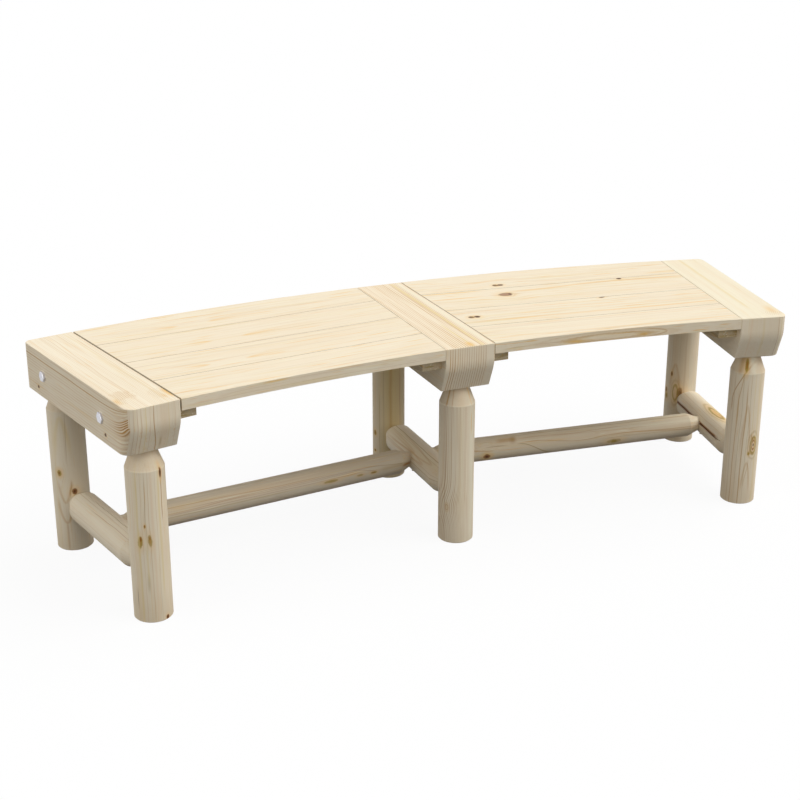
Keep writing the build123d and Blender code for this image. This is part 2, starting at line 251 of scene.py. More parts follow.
class Knot:
    """A knot, or one lobe of it, with a dark core, a body and a stained halo."""

    # Where the halo, the body and the core begin and are full, as shares of the radius
    halo_edge = (2.6, 0.8)
    body_edge = (1.12, 0.72)
    core_edge = (1.3, 0.5)
    raggedness = 0.18
    # How far along and across the knot bends the grain lines, as shares of its length and width, and how much
    bend_along = 1.3
    bend_across = 1.6
    bend = 0.75

    def __init__(self, along, across, length, width, body=rust, core=umber, strength=0.8, core_strength=0.8,
                 core_size=0.5, halo=0.35, lean=0):
        self.along, self.across, self.length, self.width = along, across, length, width
        self.body, self.core, self.strength, self.core_strength = body, core, strength, core_strength
        self.core_size, self.halo, self.lean = core_size, halo, lean

    def reach(self, face):
        """Distance from the knot's middle, 1 at its edge."""
        u = (face.along - self.along) / (self.length / 2)
        v = face.side(self.across) / (self.width / 2) - u * self.lean
        return calc("SQRT", u * u + v * v)

    def push(self, face):
        """How far the grain lines are pushed aside as they pass the knot."""
        u = (face.along - self.along) / (self.length * self.bend_along)
        v = face.side(self.across) / (self.width * self.bend_across)
        bell = calc("EXPONENT", (u * u + v * v) * -1)
        return face.side(self.across) * bell * face.near(self.across) * self.bend

    def draw(self, wood, face):
        d = self.reach(face) + wood.rough * self.raggedness
        near = face.near(self.across)
        wood.stain(smooth(d, *self.halo_edge) * near * self.halo, honey)
        self.draw_body(wood, d, near)
        start, full = self.core_edge
        core = smooth(d, self.core_size * start, self.core_size * full)
        wood.stain(core * near * self.core_strength, self.core)

    def draw_body(self, wood, d, near):
        wood.stain(smooth(d, *self.body_edge) * near * self.strength, self.body)


class Ring(Knot):
    """A sound knot that shows as pale wood inside a thin dark ring and a fainter outer one."""

    halo_edge = (3.0, 1.0)
    core_edge = (1, 0.4)
    raggedness = 0.12
    ring_edge = (0.4, 0.05)
    outer_edge = (0.3, 0.0)
    outer_radius = 1.75
    outer_share = 0.4

    def draw_body(self, wood, d, near):
        wood.stain(smooth(abs(d - 1), *self.ring_edge) * near * self.strength, self.body)
        outer = smooth(abs(d - self.outer_radius), *self.outer_edge)
        wood.stain(outer * near * self.strength * self.outer_share, self.body)


class Swirl(Ring):
    """A small knot towards which the grain lines bend from one side."""

    bend_along = 34
    bend_across = 26
    bend = -13

    def push(self, face):
        u = (face.along - self.along) / self.bend_along
        v = face.side(self.across) / self.bend_across
        return calc("EXPONENT", (u * u + v * v) * -1) * face.near(self.across) * self.bend


class Ticks:
    """A feather of short oblique marks, side by side along a leaning line."""

    mark_rise = (0.2, 0.5)
    mark_fall = (0.8, 0.5)
    patch_edge = (0.55, 0.3)
    raggedness = 0.2

    def __init__(self, along, across, length, width, spacing, slant, pigment, strength):
        self.along, self.across, self.length, self.width = along, across, length, width
        self.spacing, self.slant, self.pigment, self.strength = spacing, slant, pigment, strength

    def draw(self, wood, face):
        u = face.along - self.along
        v = face.side(self.across)
        saw = calc("FRACT", (v - u * self.slant) / self.spacing)
        marks = smooth(saw, *self.mark_rise) * smooth(saw, *self.mark_fall)
        reach = calc("SQRT", (u / self.length) * (u / self.length) + (v / self.width) * (v / self.width))
        patch = smooth(reach + wood.rough * self.raggedness, *self.patch_edge)
        wood.stain(marks * patch * face.share * self.strength, self.pigment)


class Vee:
    """One grain line shaped as an arch: two arms that open from a tip to their ends along the grain."""

    # The arms' opening and their fades at the tip and the ends, as shares of the way from the tip to the ends
    opening = -2.5
    tip_edge = (-0.04, 0.05)
    end_edge = (1.05, 0.5)
    tip_half = 0.6
    soft_width = 0.8

    def __init__(self, tip, across, end, spread, width, pigment, strength):
        self.tip, self.across, self.end, self.spread = tip, across, end, spread
        self.width, self.pigment, self.strength = width, pigment, strength

    def draw(self, wood, face):
        passed = (face.along - self.tip) / (self.end - self.tip)
        opened = 1 - calc("EXPONENT", calc("MAXIMUM", passed, 0) * self.opening)
        off = abs(abs(face.side(self.across) + wood.wobble) - (opened * self.spread + self.tip_half))
        amount = smooth(off, self.width * self.soft_width, 0)
        amount = amount * smooth(passed, *self.tip_edge) * smooth(passed, *self.end_edge)
        wood.stain(amount * face.near(self.across) * self.strength, self.pigment)


class Arch:
    """The tip of a grain arch on a plain-sawn face: two arms that open from it in the given direction."""

    # Millimetres: how fast the arms open, their half gap at the tip, and the lines' half widths
    opening = -55
    tip_half = 1.2
    tip_edge = (-8, 10)
    arm_half = 2.6
    inner_arm_half = 2.0
    heart_half = (4.5, 0.5)
    heart_start = 10
    # The inner pair of arms, as shares of the outer one's half gap and strength, and the outer one's strength
    inner_gap = 0.5
    inner_share = 0.5
    arms = 0.4

    def __init__(self, along, across, direction, spread, reach, drift, heart, heart_reach):
        self.along, self.across, self.direction, self.spread = along, across, direction, spread
        self.reach, self.drift, self.heart, self.heart_reach = reach, drift, heart, heart_reach

    def draw(self, wood, face):
        inside = (face.along - self.along) * self.direction
        opened = 1 - calc("EXPONENT", calc("MAXIMUM", inside, 0) / self.opening)
        off = abs(face.side(self.across) + wood.wobble - opened * self.drift)
        half = opened * self.spread + self.tip_half
        begun = smooth(inside, *self.tip_edge)
        inner = smooth(abs(off - half * self.inner_gap), self.inner_arm_half, 0)
        arms = smooth(abs(off - half), self.arm_half, 0) + inner * self.inner_share
        wood.stain(arms * begun * smooth(inside, self.reach, 0) * self.arms * face.share, honey)
        heart = smooth(off, *self.heart_half) * begun * smooth(inside, self.heart_reach, self.heart_start)
        wood.stain(heart * self.heart * face.share, honey)


class Wood:
    """The surface of one piece of softwood, painted in layers."""

    roughness = 0.6
    roughness_change = 0.05
    gloss = 0.2
    bump_strength = 0.5
    bump_height = 0.12

    def __init__(self, name, base=cream):
        global tree
        self.material = bpy.data.materials.new(name)
        self.material.use_nodes = True
        tree = self.material.node_tree
        self.colour = base

    def grain(self, place, seed, tone=0.5, stripes=0.3, fine=0.25, stripe=4.0, lines=0, spacing=5.0,
              line_pigment=rust):
        """Lays the growth figure along the last of the three places."""
        self.rough = noise(place, (5, 5, 9), 2, seed + 5)
        self.wobble = noise(place, (60, 60, 90), 1, seed + 6) * 1.2
        self.fibre = noise(place, (0.9, 0.9, 60), 2, seed + 3)
        narrow = stripe * 0.8
        wisp = stripe * 0.75
        # Spots drawn out along the grain, in millimetres: tone, two kinds of stripe, fibre, hairlines, wisps
        layers = [
            (noise(place, (26, 26, 700), 1, seed), (-0.3, 1.3), tone, blush),
            (noise(place, (stripe, stripe, 330), 2, seed + 1), (0.0, 1.5), stripes, straw),
            (noise(place, (narrow, narrow, 420), 2, seed + 2), (0.1, 1.5), stripes, sand),
            (self.fibre, (0.0, 1.6), fine, sand),
            (noise(place, (1.7, 1.7, 500), 1, seed + 8), (0.5, 1.5), stripes, amber),
            (noise(place, (wisp, wisp, 110), 1, seed + 9), (0.4, 1.0), stripes, honey),
            (noise(place, (wisp, wisp, 120), 1, seed + 10), (0.3, 0.9), stripes, ivory),
        ]
        for field, shown, strength, pigment in layers:
            self.stain(smooth(field, *shown) * strength, pigment)
        if lines:
            self.ring_lines(place, seed, lines, spacing, line_pigment)

    def ring_lines(self, place, seed, strength, spacing, pigment):
        """Growth lines at a spacing in millimetres, each darkening slowly to a sharp edge."""
        saw = calc("FRACT", place[0] / spacing + noise(place, (30, 30, 500), 1, seed + 4) * 0.5)
        pulse = smooth(saw, 0.35, 0.85) * smooth(saw, 1.0, 0.88)
        patch = spacing * 2.3
        uneven = smooth(noise(place, (patch, patch, 300), 1, seed + 7), -0.9, 0.7)
        self.stain(pulse * uneven * strength, pigment)

    def stain(self, amount, pigment):
        self.colour = paint(self.colour, pigment, amount)

    def figure(self, face, figures):
        for figure in figures:
            figure.draw(self, face)

    def finish(self, node_name):
        shader = tree.nodes["Principled BSDF"]
        feed(shader.inputs["Base Color"], self.colour)
        feed(shader.inputs["Roughness"], self.fibre * self.roughness_change + self.roughness)
        shader.inputs["Specular IOR Level"].default_value = self.gloss
        relief = tree.nodes.new("ShaderNodeBump")
        relief.inputs["Strength"].default_value = self.bump_strength
        relief.inputs["Distance"].default_value = self.bump_height / mm
        feed(relief.inputs["Height"], self.fibre)
        tree.links.new(relief.outputs[0], shader.inputs["Normal"])
        dress(self.material, node_name)


def dress(material, *node_names):
    for name in node_names:
        nodes[name].data.materials.clear()
        nodes[name].data.materials.append(material)


# ---------------------------------------------------------------- places, from the frame

def middle(node):
    low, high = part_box(node)
    return (low + high) / 2


sides = ("left", "middle", "right")
front_right, back_right = middle("leg_right_front"), middle("leg_right_back")
run = back_right - front_right
end_turn = atan2(run.x, run.y)
arc_centre = Vector((0, front_right.y - front_right.x * run.y / run.x, 0))
turns = {"left": -end_turn, "middle": 0, "right": end_turn}
section_turns = {"left": -end_turn / 2, "right": end_turn / 2}

# The first number of each kind of piece in the random fields
seeds = {"leg": 10, "stretcher": 20, "rail": 30, "left_board": 40, "right_board": 50, "beam": 60, "cleat": 70,
         "pin": 80, "steel": 90, "beam_side": 95}


# ---------------------------------------------------------------- logs

# Heights on a leg, and the distances from the arc's centre between which a stretcher shows, in millimetres
shoulder = 298
beam_bottom = 337
whole_stretcher = (3020, 3300)

# Figures on a log: along it, then the angle round it from the right or, on a rail, from the top, in degrees
log_figures = {
    "leg_left_front": [
        Streak(205, 285, -68, 3, tawny, 0.85, fade=12),
        Knot(292, -68, 22, 5.5, strength=0.9, core_strength=0.9, core_size=0.6, halo=0.6),
        Streak(60, 290, -78, 7, straw, 0.6),
        Streak(150, 290, -120, 3, olive, 0.35),
        Streak(180, 275, -124, 2, tawny, 0.4, (180, 275, 3)),
        Knot(194, -125, 9, 4, body=tawny, core=umber, strength=0.9, core_strength=0.6, halo=0.4),
        Knot(162, -141, 26, 10, body=olive, core=tawny, strength=0.9, core_strength=0.5, lean=0.2),
        Knot(168, -139, 11, 4.5, body=russet, core_strength=0.3, halo=0, lean=0.2),
        Knot(165, -112, 26, 8, body=olive, core=tawny, strength=0.75, core_strength=0.5, halo=0.3,
             lean=-0.2),
        Knot(170, -112, 8, 4, body=russet, core=umber, strength=0.5, core_strength=0.2, halo=0),
        Streak(65, 95, -123, 9, olive, 0.35, fade=14),
        Streak(85, 150, -122, 6, straw, 0.5, fade=10),
        Streak(30, 65, -161, 3, umber, 0.65, fade=9),
        Knot(5, -71, 10, 7, strength=0.95, core_strength=1),
        Streak(0, shoulder, -100, 9, blush, 0.5),
        Streak(0, shoulder, -145, 7, straw, 0.6),
        Streak(0, shoulder, -160, 6, blush, 0.4),
        Streak(0, shoulder, -110, 3, amber, 0.35),
        Streak(0, shoulder, -88, 2, sand, 0.4),
        Streak(0, shoulder, -132, 2, amber, 0.3),
    ],
    "leg_middle_front": [
        Streak(0, shoulder, -156, 2, russet, 0.5),
        Swirl(79, -146, 11, 6, body=tawny, core=olive, strength=0.45, halo=0.25, core_strength=0.3),
        Streak(shoulder, beam_bottom, -152, 6, amber, 0.8, fade=5),
        Streak(shoulder, beam_bottom, -132, 4, amber, 0.5, fade=5),
        Streak(shoulder, beam_bottom, -62, 5, honey, 0.8, fade=5),
        Streak(shoulder, beam_bottom, -100, 30, blush, 0.3, fade=3),
        Streak(0, shoulder, -60, 30, ivory, 0.8),
        Streak(0, shoulder, -102, 20, straw, 0.12),
        Streak(-40, 70, -110, 90, cream, 0.5),
        Streak(240, 280, -62, 5, honey, 0.7, fade=12),
    ],
    "leg_right_front": [
        Ring(137, -72, 20, 8, body=russet, core_strength=0.9),
        Ring(136, -72, 36, 15, body=olive, core=olive, strength=0.75, core_strength=0, halo=0),
        Streak(146, 162, -76, 4, russet, 0.6, (146, 162, -4), fade=6),
        Knot(118, -88, 9, 6, body=olive, core=olive, strength=0.6),
        Streak(120, 170, -84, 2, russet, 0.4, (140, 170, -5), fade=8),
        Streak(-10, 262, -113, 4, tawny, 0.65, (60, 260, 4)),
        Streak(-10, 250, -142, 4, amber, 0.6, (60, 240, 4)),
        Vee(228, -103, 90, 10, 4, amber, 0.35),
        Vee(98, -92, 20, 9, 4, amber, 0.45),
        Streak(45, 100, -98, 3.5, tawny, 0.35, (45, 100, 7), fade=10),
        Streak(215, 330, -162, 4, tawny, 0.7, (235, 315, 26), fade=10),
        Streak(195, 300, -138, 3.5, amber, 0.6, (215, 300, 9), fade=14),
        Knot(316, -119, 30, 8, body=olive, core=russet, strength=0.9, core_strength=0.8, halo=0.6),
        Streak(shoulder, beam_bottom, -140, 20, amber, 0.6, fade=6),
        Streak(shoulder, beam_bottom, -92, 22, ivory, 0.7, fade=4),
        Streak(-10, shoulder, -62, 8, straw, 0.4),
        Streak(20, 290, -100, 2.4, olive, 0.3, (60, 240, 3)),
        Streak(150, shoulder, -82, 3, straw, 0.5),
        Streak(20, shoulder, -128, 2.4, olive, 0.3, (60, 240, 4)),
        Streak(-10, shoulder, -155, 5, sand, 0.4),
    ],
    "leg_left_back": [
        Knot(170, -147, 14, 10, body=olive, core=rust, strength=0.8, core_strength=0.8, halo=0.6),
        Knot(130, -102, 14, 12, body=rust, core=umber, strength=0.9),
        Vee(290, -130, 200, 16, 9, straw, 0.4),
        Streak(120, 150, -116, 6, tawny, 0.5, (125, 145, 4), fade=8),
        Streak(200, 290, -118, 3, olive, 0.4, (200, 290, 3)),
        Vee(104, -132, 160, 14, 6, amber, 0.35),
        Vee(60, -132, 120, 18, 7, amber, 0.45),
        Streak(5, 62, -132, 7, tawny, 0.35, fade=10),
        Streak(0, 290, -160, 9, straw, 0.2),
    ],
    "leg_middle_back": [
        Streak(100, 260, -130, 3, umber, 0.4),
        Streak(60, 200, -147, 5, olive, 0.5),
        Streak(0, 290, -100, 90, straw, 0.7),
        Streak(0, 290, -105, 12, amber, 0.4),
        Streak(130, 260, -68, 3, russet, 0.5),
        Knot(105, -170, 14, 10, body=olive, core=rust, strength=0.8),
        Knot(62, -170, 7, 8, body=olive, core=rust),
    ],
    "leg_right_back": [
        Knot(171, -150, 14, 6, body=rust, strength=0.9),
        Knot(125, -115, 30, 14, body=rust, core=umber, strength=0.8),
        Ring(125, -132, 36, 12, body=olive, core=olive, strength=0.6, core_strength=0),
        Vee(198, -137, 120, 13, 6, amber, 0.35),
        Knot(125, -178, 14, 9, body=rust, core=umber, strength=0.8),
        Knot(112, -174, 18, 12, body=olive, core=olive, strength=0.5),
        Streak(0, 290, -100, 7, sand, 0.4),
    ],
    "stretcher_left": [
        Streak(3040, 3200, 118, 2.2, russet, 0.5, (3100, 3150, 1.5)),
        Streak(*whole_stretcher, 145, 16, ivory, 0.4),
        Streak(3060, 3280, 170, 3, sand, 0.4),
        Streak(3040, 3290, 102, 2, sand, 0.5),
    ],
    "stretcher_middle": [
        Streak(*whole_stretcher, 104, 3, olive, 0.65),
        Streak(*whole_stretcher, 125, 40, straw, 0.2),
        Vee(3060, 128, 3270, 12, 4, amber, 0.35),
        Vee(3090, 150, 3290, 10, 4, amber, 0.35),
        Vee(3140, 137, 3300, 8, 4, amber, 0.3),
        Streak(*whole_stretcher, 118, 2, sand, 0.6),
        Streak(*whole_stretcher, 160, 3, sand, 0.5),
        Streak(3020, 3150, 175, 3, olive, 0.5),
    ],
    "stretcher_right": [
        Knot(3132, 82, 62, 14, body=honey, core=amber, strength=0.5, core_strength=0.5, core_size=0.7,
             lean=0.15),
        Ring(3132, 82, 66, 16, body=olive, core=honey, strength=0.8, core_strength=0, halo=0.3, lean=0.15),
        Streak(3050, 3300, 165.5, 11, crack_brown, 0.95, fade=12),
        Streak(3050, 3180, 161, 5, russet, 0.45, fade=20),
        Streak(*whole_stretcher, 50, 30, sand, 0.3),
        Streak(3105, 3125, 76, 6, russet, 0.5, fade=6),
        Streak(3045, 3290, 120, 2.4, sand, 0.5),
        Streak(3045, 3290, 140, 2.4, amber, 0.3),
    ],
    "rail_left": [
        Streak(-170, 230, 62, 2, russet, 0.4),
        Streak(-300, 100, 46, 3, amber, 0.5, (-200, 0, 4)),
        Streak(-280, -40, 72, 3, amber, 0.4, (-200, -80, -3)),
        Streak(-150, 170, 68, 2, russet, 0.35),
        Streak(-240, 180, 78, 2, russet, 0.4),
        Streak(-240, 20, 88, 4, olive, 0.35),
        Knot(118, 87, 34, 6, body=olive, core=olive, strength=0.6, core_strength=0.3),
        Knot(186, 89, 16, 5, body=olive, core=tawny, strength=0.45, core_strength=0.2),
        Knot(218, 90, 16, 5, body=olive, core=russet, strength=0.6, core_strength=0.6),
        Streak(235, 300, 84, 16, olive, 0.3, fade=14),
        Streak(170, 225, 62, 2, russet, 0.5, (170, 225, 9), fade=8),
        Streak(200, 300, 60, 3, olive, 0.4, (200, 300, 8), fade=8),
        Streak(288, 310, 90, 10, russet, 0.7, fade=6),
    ],
    "rail_right": [
        Knot(-203, 110, 17, 13, strength=0.85, halo=0.6),
        Streak(-176, -140, 34, 20, amber, 0.55, fade=10),
        Streak(-146, -134, 40, 26, tawny, 0.55, (-150, -130, -4), fade=6),
        Streak(-250, -190, 70, 5, amber, 0.6, (-250, -190, 5), fade=12),
        Streak(-200, -160, 62, 4, olive, 0.5, fade=12),
        Streak(-128, -55, 60, 3.5, olive, 0.6, (-128, -55, 24), fade=8),
        Knot(98, 108, 36, 13, body=olive, core=olive, strength=0.5),
        Streak(-130, 290, 14, 3, russet, 0.45),
        Streak(-120, 120, 34, 3, amber, 0.45, (-120, 0, 3), (0, 120, -3)),
        Streak(-60, 260, 44, 2.4, amber, 0.4, (0, 120, 3)),
        Streak(100, 300, 72, 4, amber, 0.45, (120, 280, 3)),
        Streak(-110, 300, 55, 2.5, amber, 0.6, (-110, 20, 12), (20, 100, -5), (100, 300, 7), fade=15),
        Streak(60, 300, 88, 3, sand, 0.5),
        Streak(170, 320, 48, 14, ivory, 0.5),
    ],
}


log_colours = {
    "leg_middle_front": rgb(252, 239, 213),
    "leg_middle_back": dull,
    "leg_right_back": rgb(238, 224, 198),
    "stretcher_right": rgb(242, 228, 202),
    "rail_left": rgb(228, 214, 190),
    "rail_right": rgb(240, 226, 200),
}


log_looks = {"tone": 0.6, "stripes": 0.45}
fine_leg_looks = {"lines": 0.75, "tone": 0.45, "spacing": 2.4, "line_pigment": pale_line, "stripes": 0.2}
rail_looks = {"stripes": 0.7}
foot_height = 90
foot_painted_shade = 0.3
cone_tone = 0.35
rail_shaded_underside = (-6, -24)
underside_painted_shade = 0.45


def log_wood(node, turn, centre, axis, seed, looks):
    """A round piece with its grain along one of its own axes: a leg "z", a stretcher "y" and a rail "x"."""
    wood = Wood(node, log_colours.get(node, cream))
    x, y, z = place_in(turn, centre)
    first, second, along = {"z": (x, y, z), "y": (x, z, y), "x": (z, y * -1, x)}[axis]
    face = Round(first, second, along)
    figures = log_figures.get(node, [])
    grain_first, grain_second = first, second
    for knot in figures:
        if isinstance(knot, Knot):
            aside = knot.push(face)
            grain_first = grain_first + aside * sin(radians(knot.across))
            grain_second = grain_second - aside * cos(radians(knot.across))
    looks = {**log_looks, **looks}
    if "lines" in looks:
        looks["lines"] = smooth(along, shoulder, shoulder - 1) * looks["lines"]
    wood.grain((grain_first, grain_second, along), seed, **looks)
    if axis == "z":
        # Painted shade: each leg darkens towards the floor, over foot_height millimetres
        wood.stain(smooth(along, foot_height, 0) * foot_painted_shade, sand)
        wood.stain(smooth(along, shoulder, shoulder + 3) * cone_tone, sand)
    if axis == "x":
        # Painted shade on the underside of a rail
        wood.stain(smooth(first, *rail_shaded_underside) * underside_painted_shade, clay)
    wood.figure(face, figures)
    wood.finish(node)


def dress_logs():
    for number, side in enumerate(sides):
        for end in ("front", "back"):
            node = f"leg_{side}_{end}"
            axis = middle(node)
            looks = fine_leg_looks if node == "leg_middle_front" else {}
            seed = seeds["leg"] + number * 2 + (end == "back")
            log_wood(node, turns[side], (axis.x, axis.y, 0), "z", seed, looks)
        stretcher = f"stretcher_{side}"
        centre = (arc_centre.x, arc_centre.y, middle(stretcher).z)
        log_wood(stretcher, turns[side], centre, "y", seeds["stretcher"] + number, {})
    for number, section in enumerate(section_turns):
        rail = f"rail_{section}"
        log_wood(rail, section_turns[section], middle(rail), "x", seeds["rail"] + number, rail_looks)


# ---------------------------------------------------------------- seat boards

joint_painted_shade = 0.5
board_tone = 0.3
board_fibre = 0.15
board_stripes = {"left": 0.9, "right": 1}
board_stripe_width = 6


def opposed_arches(closing, opening, across, flecks):
    """The figure that the left boards share: one arch tip that points right, and one that points left."""
    return [
        Arch(closing, across, -1, 21, 150, drift=8, heart=0.7, heart_reach=70),
        Arch(opening, across + 2, 1, 15, 260, drift=6, heart=0.6, heart_reach=110),
        *[Streak(*fleck, 3.5, honey, 0.5, fade=14) for fleck in flecks],
    ]


def double_knot(along, across):
    """Two dark lobes side by side."""
    looks = {"body": umber, "strength": 0.9, "core_strength": 0.9, "core_size": 0.7}
    return [Knot(along + offset, across, 15, 13, **looks) for offset in (-6, 6)]


# Figures on a board's top: to the right of the section's middle, then away from the arc's centre
arch_flecks = {
    4: [(190, 232, 3318), (275, 305, 3325), (270, 305, 3295)],
    3: [(205, 255, 3200)],
    2: [(175, 205, 3065), (235, 265, 3045)],
}
board_figures = {
    "seat_left_board_4": opposed_arches(-130, -58, 3306, arch_flecks[4]),
    "seat_left_board_3": opposed_arches(-105, -35, 3186, arch_flecks[3]),
    "seat_left_board_2": opposed_arches(-160, -80, 3058, arch_flecks[2]),
    "seat_left_board_1": [
        Streak(-110, -60, 3018, 4, honey, 0.4, fade=20),
        Streak(50, 75, 3018, 4, honey, 0.4, fade=20),
        Streak(-125, -60, 2936, 6, honey, 0.7, fade=25),
        Streak(25, 75, 2936, 5, honey, 0.6, fade=25),
    ],
    "seat_right_board_4": [
        Streak(-300, -190, 3278, 6, honey, 0.5),
        Streak(-30, 60, 3300, 5, honey, 0.5, (-30, 60, -10)),
        Streak(-100, 300, 3276, 3, sand, 0.4),
        *double_knot(-120, 3293),
    ],
    "seat_right_board_3": [
        Streak(-300, -180, 3262, 9, honey, 0.95),
        Streak(-290, -200, 3220, 9, honey, 0.9),
        Streak(-100, 300, 3238, 16, honey, 0.65, (-60, 110, 15), (120, 300, -8)),
        Streak(60, 300, 3246, 6, amber, 0.4, (60, 160, 6)),
        Streak(140, 300, 3264, 5, honey, 0.6),
        Knot(-129, 3220, 32, 24, body=umber, core=clay, strength=0.7, core_size=0.85, core_strength=0.9),
        Knot(-119, 3221, 9, 12, body=umber, core=umber, strength=0.6, core_strength=0.3, halo=0),
        Knot(160, 3264, 13, 11, body=umber, strength=1, core_strength=1),
    ],
    "seat_right_board_2": [
        Streak(-130, 300, 3090, 6, honey, 0.45, (-130, 300, -15)),
        Streak(-260, 300, 3055, 13, honey, 0.5, (-230, 300, -5)),
        Streak(40, 300, 3050, 8, honey, 0.45),
        Streak(40, 300, 3066, 4, amber, 0.3),
        Streak(220, 260, 3112, 9, honey, 0.9),
        *double_knot(-249, 3086),
        Knot(62, 3141, 15, 9, body=umber, core=umber, strength=0.7, lean=0.5),
    ],
    "seat_right_board_1": [
        Streak(20, 270, 2942, 8, honey, 0.6),
        Streak(-240, 60, 2944, 5, honey, 0.4),
        Streak(-280, 250, 3013, 5, blush, 0.6),
    ],
}


board_edge_figures = {
    "left": [
        Streak(-105, -62, 427, 5, honey, 0.9, fade=12),
        Streak(25, 90, 427, 4, honey, 0.5, fade=12),
        Streak(-180, -60, 421, 2, amber, 0.3),
        Streak(-240, 260, 415, 2, sand, 0.4),
    ],
    "right": [
        Ring(-22, 416, 168, 13, body=amber, core=honey, strength=0.5, core_strength=0, halo=0.1),
        Knot(57, 414, 20, 7, body=honey, core=amber, strength=0.6, core_strength=0.3, halo=0.2),
        Knot(-92, 413, 34, 6, body=honey, core=honey, strength=0.5),
        Vee(108, 417, 50, 9, 3, amber, 0.6),
        Streak(-260, 260, 427, 2, sand, 0.4),
    ],
}


# How far a face looks along an axis where its figures start to show, and where they show in full
level_face = (0.6, 0.8)


def vertex_radii(node):
    """How near the arc centre a piece's corners come, and how far they lie, in millimetres."""
    radii = [(vertex.co.xy - arc_centre.xy).length * mm for vertex in nodes[node].data.vertices]
    return min(radii), max(radii)


seat_front = vertex_radii("seat_left_board_1")[0]
seat_back = vertex_radii("seat_left_board_4")[1]


def board_wood(section, number):
    node = f"seat_{section}_board_{number}"
    wood = Wood(node)
    x, y, z = place_in(section_turns[section], arc_centre)
    right, outward, up = facing_in(section_turns[section])
    figures = board_figures[node]
    top = Flat(x, y, smooth(up, *level_face))
    across = y
    for knot in figures:
        if isinstance(knot, Knot):
            across = across - knot.push(top)
    wood.grain((across, z, x), seeds[f"{section}_board"] + number, tone=board_tone, fine=board_fibre,
               stripes=board_stripes[section], stripe=board_stripe_width)
    wood.figure(top, figures)
    if number == 1:
        start, full = level_face
        wood.figure(Flat(x, z, smooth(outward, -start, -full)), board_edge_figures[section])
    # Painted shade darkens the joints: the edges of a board that meet the next board or a beam
    radius = calc("SQRT", x * x + y * y)
    in_joint = smooth(radius, seat_front + 2, seat_front + 3) * smooth(radius, seat_back - 2, seat_back - 3)
    wood.stain(smooth(abs(up), 0.9, 0.8) * in_joint * joint_painted_shade, umber)
    wood.finish(node)


# ---------------------------------------------------------------- beams

# Figures on a beam's top: away from the arc's centre, then across. On its front end: height, then across
end_height = (330, 430)
beam_figures = {
    "left": {
        "top": [
            Streak(2948, 2992, 48, 20, honey, 0.95, fade=14),
            Streak(2950, 2966, 35, 12, honey, 0.5, fade=8),
            Streak(2966, 2988, -46, 16, honey, 0.6, fade=10),
            Ticks(2975, 30, 60, 30, 4.5, 0.9, amber, 0.4),
            Ticks(3000, -26, 50, 46, 3.6, 0.8, amber, 0.8),
            Ticks(2974, -42, 36, 26, 4.2, 0.8, amber, 0.5),
            Streak(3000, 3390, -10, 3, amber, 0.35, (3080, 3390, 8)),
            Streak(3080, 3390, -17, 3, amber, 0.3, (3080, 3390, 6)),
            Streak(2960, 3390, 30, 4, straw, 0.5),
        ],
        "end": [
            Streak(*end_height, -46, 2.4, tawny, 0.25),
            Streak(*end_height, -40, 2.2, tawny, 0.35),
            Streak(*end_height, -33, 3, tawny, 0.35),
            Streak(*end_height, -26, 4, amber, 0.45),
            Streak(*end_height, -17, 3, straw, 0.8),
            Streak(*end_height, -9, 2, amber, 0.35),
            Streak(*end_height, 27, 3, straw, 0.5),
            Streak(*end_height, 39, 2.4, amber, 0.3),
            Streak(*end_height, 18, 30, blush, 0.5),
            Streak(*end_height, -2, 3.4, tawny, 0.85, (400, 350, 6)),
            Streak(345, 365, 13, 8, olive, 0.4, fade=8),
        ],
    },
    "middle": {
        "top": [
            Streak(2900, 3400, 42, 22, ivory, 0.85),
            Streak(2900, 3390, 27, 11, straw, 0.7),
            Streak(2900, 3390, 22, 3.5, tawny, 0.55),
            Streak(2900, 3070, 5, 6, straw, 0.8),
            Streak(2928, 2952, 4, 26, honey, 0.8, fade=8),
        ],
        "end": [
            Streak(*end_height, -43, 3, amber, 0.9),
            Streak(*end_height, -38, 3, amber, 0.9),
            Streak(*end_height, -33, 3, tawny, 0.8),
            *[Streak(*end_height, x, 2.2, tawny, 0.6) for x in range(-27, 36, 5)],
        ],
    },
    "right": {
        "top": [
            Streak(3000, 3390, -5, 12, straw, 0.5),
            Streak(2958, 2996, 36, 34, honey, 0.55, fade=20),
            Ticks(2955, 30, 40, 40, 4.5, 0.6, amber, 0.35),
        ],
        "end": [
            Streak(*end_height, 34, 2, russet, 0.5),
            Streak(*end_height, 40, 5, straw, 0.4),
            Streak(*end_height, 1, 9, straw, 0.35),
            Streak(*end_height, -28, 5, blush, 0.5),
            Streak(385, 430, 0, 200, sand, 0.12, fade=10),
        ],
    },
}


beam_looks = {
    "left": {"tone": 0.3, "stripes": 0.5},
    "middle": {"tone": 0.3, "stripes": 0.3},
    "right": {"tone": 0.4, "stripes": 0.3},
}
beam_lines = {"left": 0.35, "middle": 1, "right": 0.15}
line_spacing = {"left": 3.6, "middle": 4.8, "right": 3.6}
beam_fibre = 0.15
top_colours = {"left": rgb(250, 238, 214), "middle": rgb(250, 235, 209), "right": ivory}
outer_sign = {"left": -1, "right": 1}


# The growth layers in an end beam's side: heights, spacings and distances from the arc's centre
side_knots = ((3022, 355), (3329, 354))
front_corner = 2933
corner_reach = 28
sweep_height = 402
sweep_edge = (34, 6)
sweep_rise = 12
least_rise = 8
dark_line_height = 413.5
dark_line_half = 1.8
heart_height = 381
heart_edge = (16, 8)
arc_spacing = 4
low_spacing = 8.7
layer_spacing = 5.7


